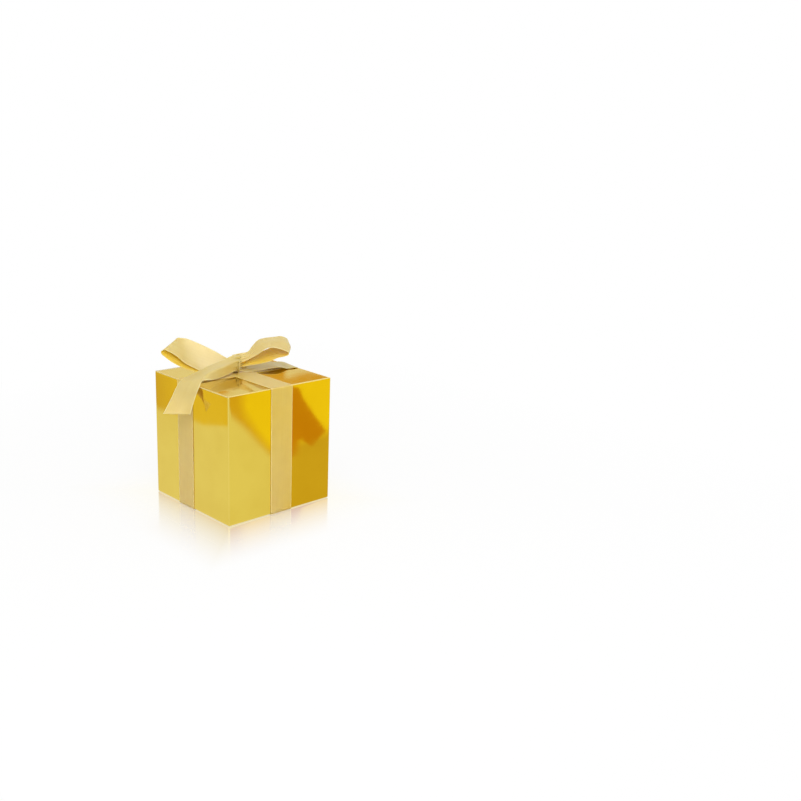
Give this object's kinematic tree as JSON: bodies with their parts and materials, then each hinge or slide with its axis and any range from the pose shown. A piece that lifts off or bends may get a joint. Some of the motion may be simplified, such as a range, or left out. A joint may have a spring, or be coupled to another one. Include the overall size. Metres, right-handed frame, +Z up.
{
  "type": "favor box",
  "caption": "Folding gift carton of mirror-gold board with a hinged tuck lid, dust flaps and an auto-lock base, tied with a crossed satin ribbon and a bow.",
  "frame": {"origin": "on the table, under the middle of the carton", "axes": "+Z up, -Y out of the front panel, where the lid tucks in, +X to the right seen from the front"},
  "size_m": [0.1258, 0.1024, 0.1348],
  "materials": {
    "foil_board": "mirror gold foil on white board",
    "satin_ribbon": "champagne satin weave"
  },
  "bodies": {
    "carton": {"front_panel": "foil_board", "back_panel": "foil_board", "left_panel": "foil_board", "right_panel": "foil_board", "glue_flap": "foil_board", "base_front_flap": "foil_board", "base_back_flap": "foil_board", "base_left_flap": "foil_board", "base_right_flap": "foil_board", "ribbon_under_middle": "satin_ribbon", "ribbon_under_front": "satin_ribbon", "ribbon_under_back": "satin_ribbon"},
    "lid": {"lid_panel": "foil_board"},
    "tuck_flap": {"lid_tuck_flap": "foil_board"},
    "left_dust_flap": {"left_dust_flap": "foil_board"},
    "right_dust_flap": {"right_dust_flap": "foil_board"},
    "ribbon_front": {"ribbon_front_band": "satin_ribbon"},
    "ribbon_back": {"ribbon_back_band": "satin_ribbon"},
    "ribbon_left": {"ribbon_left_band": "satin_ribbon"},
    "ribbon_right": {"ribbon_right_band": "satin_ribbon"},
    "ribbon_front_tip": {"ribbon_top_front": "satin_ribbon", "bow_knot": "satin_ribbon", "bow_left_loop": "satin_ribbon", "bow_right_loop": "satin_ribbon", "bow_left_tail": "satin_ribbon", "bow_right_tail": "satin_ribbon"},
    "ribbon_back_tip": {"ribbon_top_back": "satin_ribbon"},
    "ribbon_left_tip": {"ribbon_top_left": "satin_ribbon"},
    "ribbon_right_tip": {"ribbon_top_right": "satin_ribbon"},
    "left_tail_end": {"bow_left_tail_end": "satin_ribbon"},
    "right_tail_end": {"bow_right_tail_end": "satin_ribbon"}
  },
  "joints": [
    {"name": "lid_open", "type": "hinge", "parent": "carton", "child": "lid", "pos_m": [0, 0.05055, 0.10415], "axis": [-1, 0, 0], "range_deg": [0, 120], "deforming": ["ribbon_top_front", "ribbon_top_back", "ribbon_top_left", "ribbon_top_right", "bow_knot", "bow_left_loop", "bow_right_loop", "bow_left_tail", "bow_right_tail", "bow_left_tail_end", "bow_right_tail_end"]},
    {"name": "tuck_fold", "type": "hinge", "parent": "lid", "child": "tuck_flap", "pos_m": [0, -0.04995, 0.10415], "axis": [-1, 0, 0], "range_deg": [0, 60]},
    {"name": "left_dust_fold", "type": "hinge", "parent": "carton", "child": "left_dust_flap", "pos_m": [-0.05055, 0, 0.10355], "axis": [0, -1, 0], "range_deg": [0, 90]},
    {"name": "right_dust_fold", "type": "hinge", "parent": "carton", "child": "right_dust_flap", "pos_m": [0.05055, 0, 0.10355], "axis": [0, 1, 0], "range_deg": [0, 90]},
    {"name": "ribbon_front_fall", "type": "hinge", "parent": "carton", "child": "ribbon_front", "pos_m": [0, -0.05105, 0.00015], "axis": [1, 0, 0], "range_deg": [0, 90]},
    {"name": "ribbon_back_fall", "type": "hinge", "parent": "carton", "child": "ribbon_back", "pos_m": [0, 0.05105, 0.00015], "axis": [-1, 0, 0], "range_deg": [0, 90]},
    {"name": "ribbon_left_fall", "type": "hinge", "parent": "carton", "child": "ribbon_left", "pos_m": [-0.05105, 0.007, 0.00015], "axis": [0, -1, 0], "range_deg": [0, 90]},
    {"name": "ribbon_right_fall", "type": "hinge", "parent": "carton", "child": "ribbon_right", "pos_m": [0.05105, 0.007, 0.00015], "axis": [0, 1, 0], "range_deg": [0, 90]},
    {"name": "ribbon_front_bend", "type": "hinge", "parent": "ribbon_front", "child": "ribbon_front_tip", "pos_m": [0, -0.05045, 0.10465], "axis": [-1, 0, 0], "range_deg": [0, 90]},
    {"name": "ribbon_back_bend", "type": "hinge", "parent": "ribbon_back", "child": "ribbon_back_tip", "pos_m": [0, 0.05105, 0.10465], "axis": [-1, 0, 0], "range_deg": [0, 90]},
    {"name": "ribbon_left_bend", "type": "hinge", "parent": "ribbon_left", "child": "ribbon_left_tip", "pos_m": [-0.05105, 0.007, 0.10465], "axis": [0, -1, 0], "range_deg": [0, 90]},
    {"name": "ribbon_right_bend", "type": "hinge", "parent": "ribbon_right", "child": "ribbon_right_tip", "pos_m": [0.05105, 0.007, 0.10465], "axis": [0, 1, 0], "range_deg": [0, 90]},
    {"name": "left_tail_bend", "type": "hinge", "parent": "ribbon_front_tip", "child": "left_tail_end", "pos_m": [-0.054, -0.00279, 0.1075], "axis": [-0.309, 0.9511, 0], "range_deg": [0, 62.4]},
    {"name": "right_tail_bend", "type": "hinge", "parent": "ribbon_front_tip", "child": "right_tail_end", "pos_m": [0.052, 0.0008, 0.1056], "axis": [0, -1, 0], "range_deg": [0, 90]}
  ],
  "couplings": [
    {"joint": "tuck_fold", "follows": "lid_open", "ratio": 0.5},
    {"joint": "left_dust_fold", "follows": "lid_open", "ratio": 0.75},
    {"joint": "right_dust_fold", "follows": "lid_open", "ratio": 0.75},
    {"joint": "ribbon_front_fall", "follows": "lid_open", "ratio": 0.75},
    {"joint": "ribbon_back_fall", "follows": "lid_open", "ratio": 0.75},
    {"joint": "ribbon_left_fall", "follows": "lid_open", "ratio": 0.75},
    {"joint": "ribbon_right_fall", "follows": "lid_open", "ratio": 0.75},
    {"joint": "ribbon_front_bend", "follows": "lid_open", "ratio": 0.75},
    {"joint": "ribbon_back_bend", "follows": "lid_open", "ratio": 0.75},
    {"joint": "ribbon_left_bend", "follows": "lid_open", "ratio": 0.75},
    {"joint": "ribbon_right_bend", "follows": "lid_open", "ratio": 0.75},
    {"joint": "left_tail_bend", "follows": "lid_open", "ratio": 0.52},
    {"joint": "right_tail_bend", "follows": "lid_open", "ratio": 0.75}
  ]
}
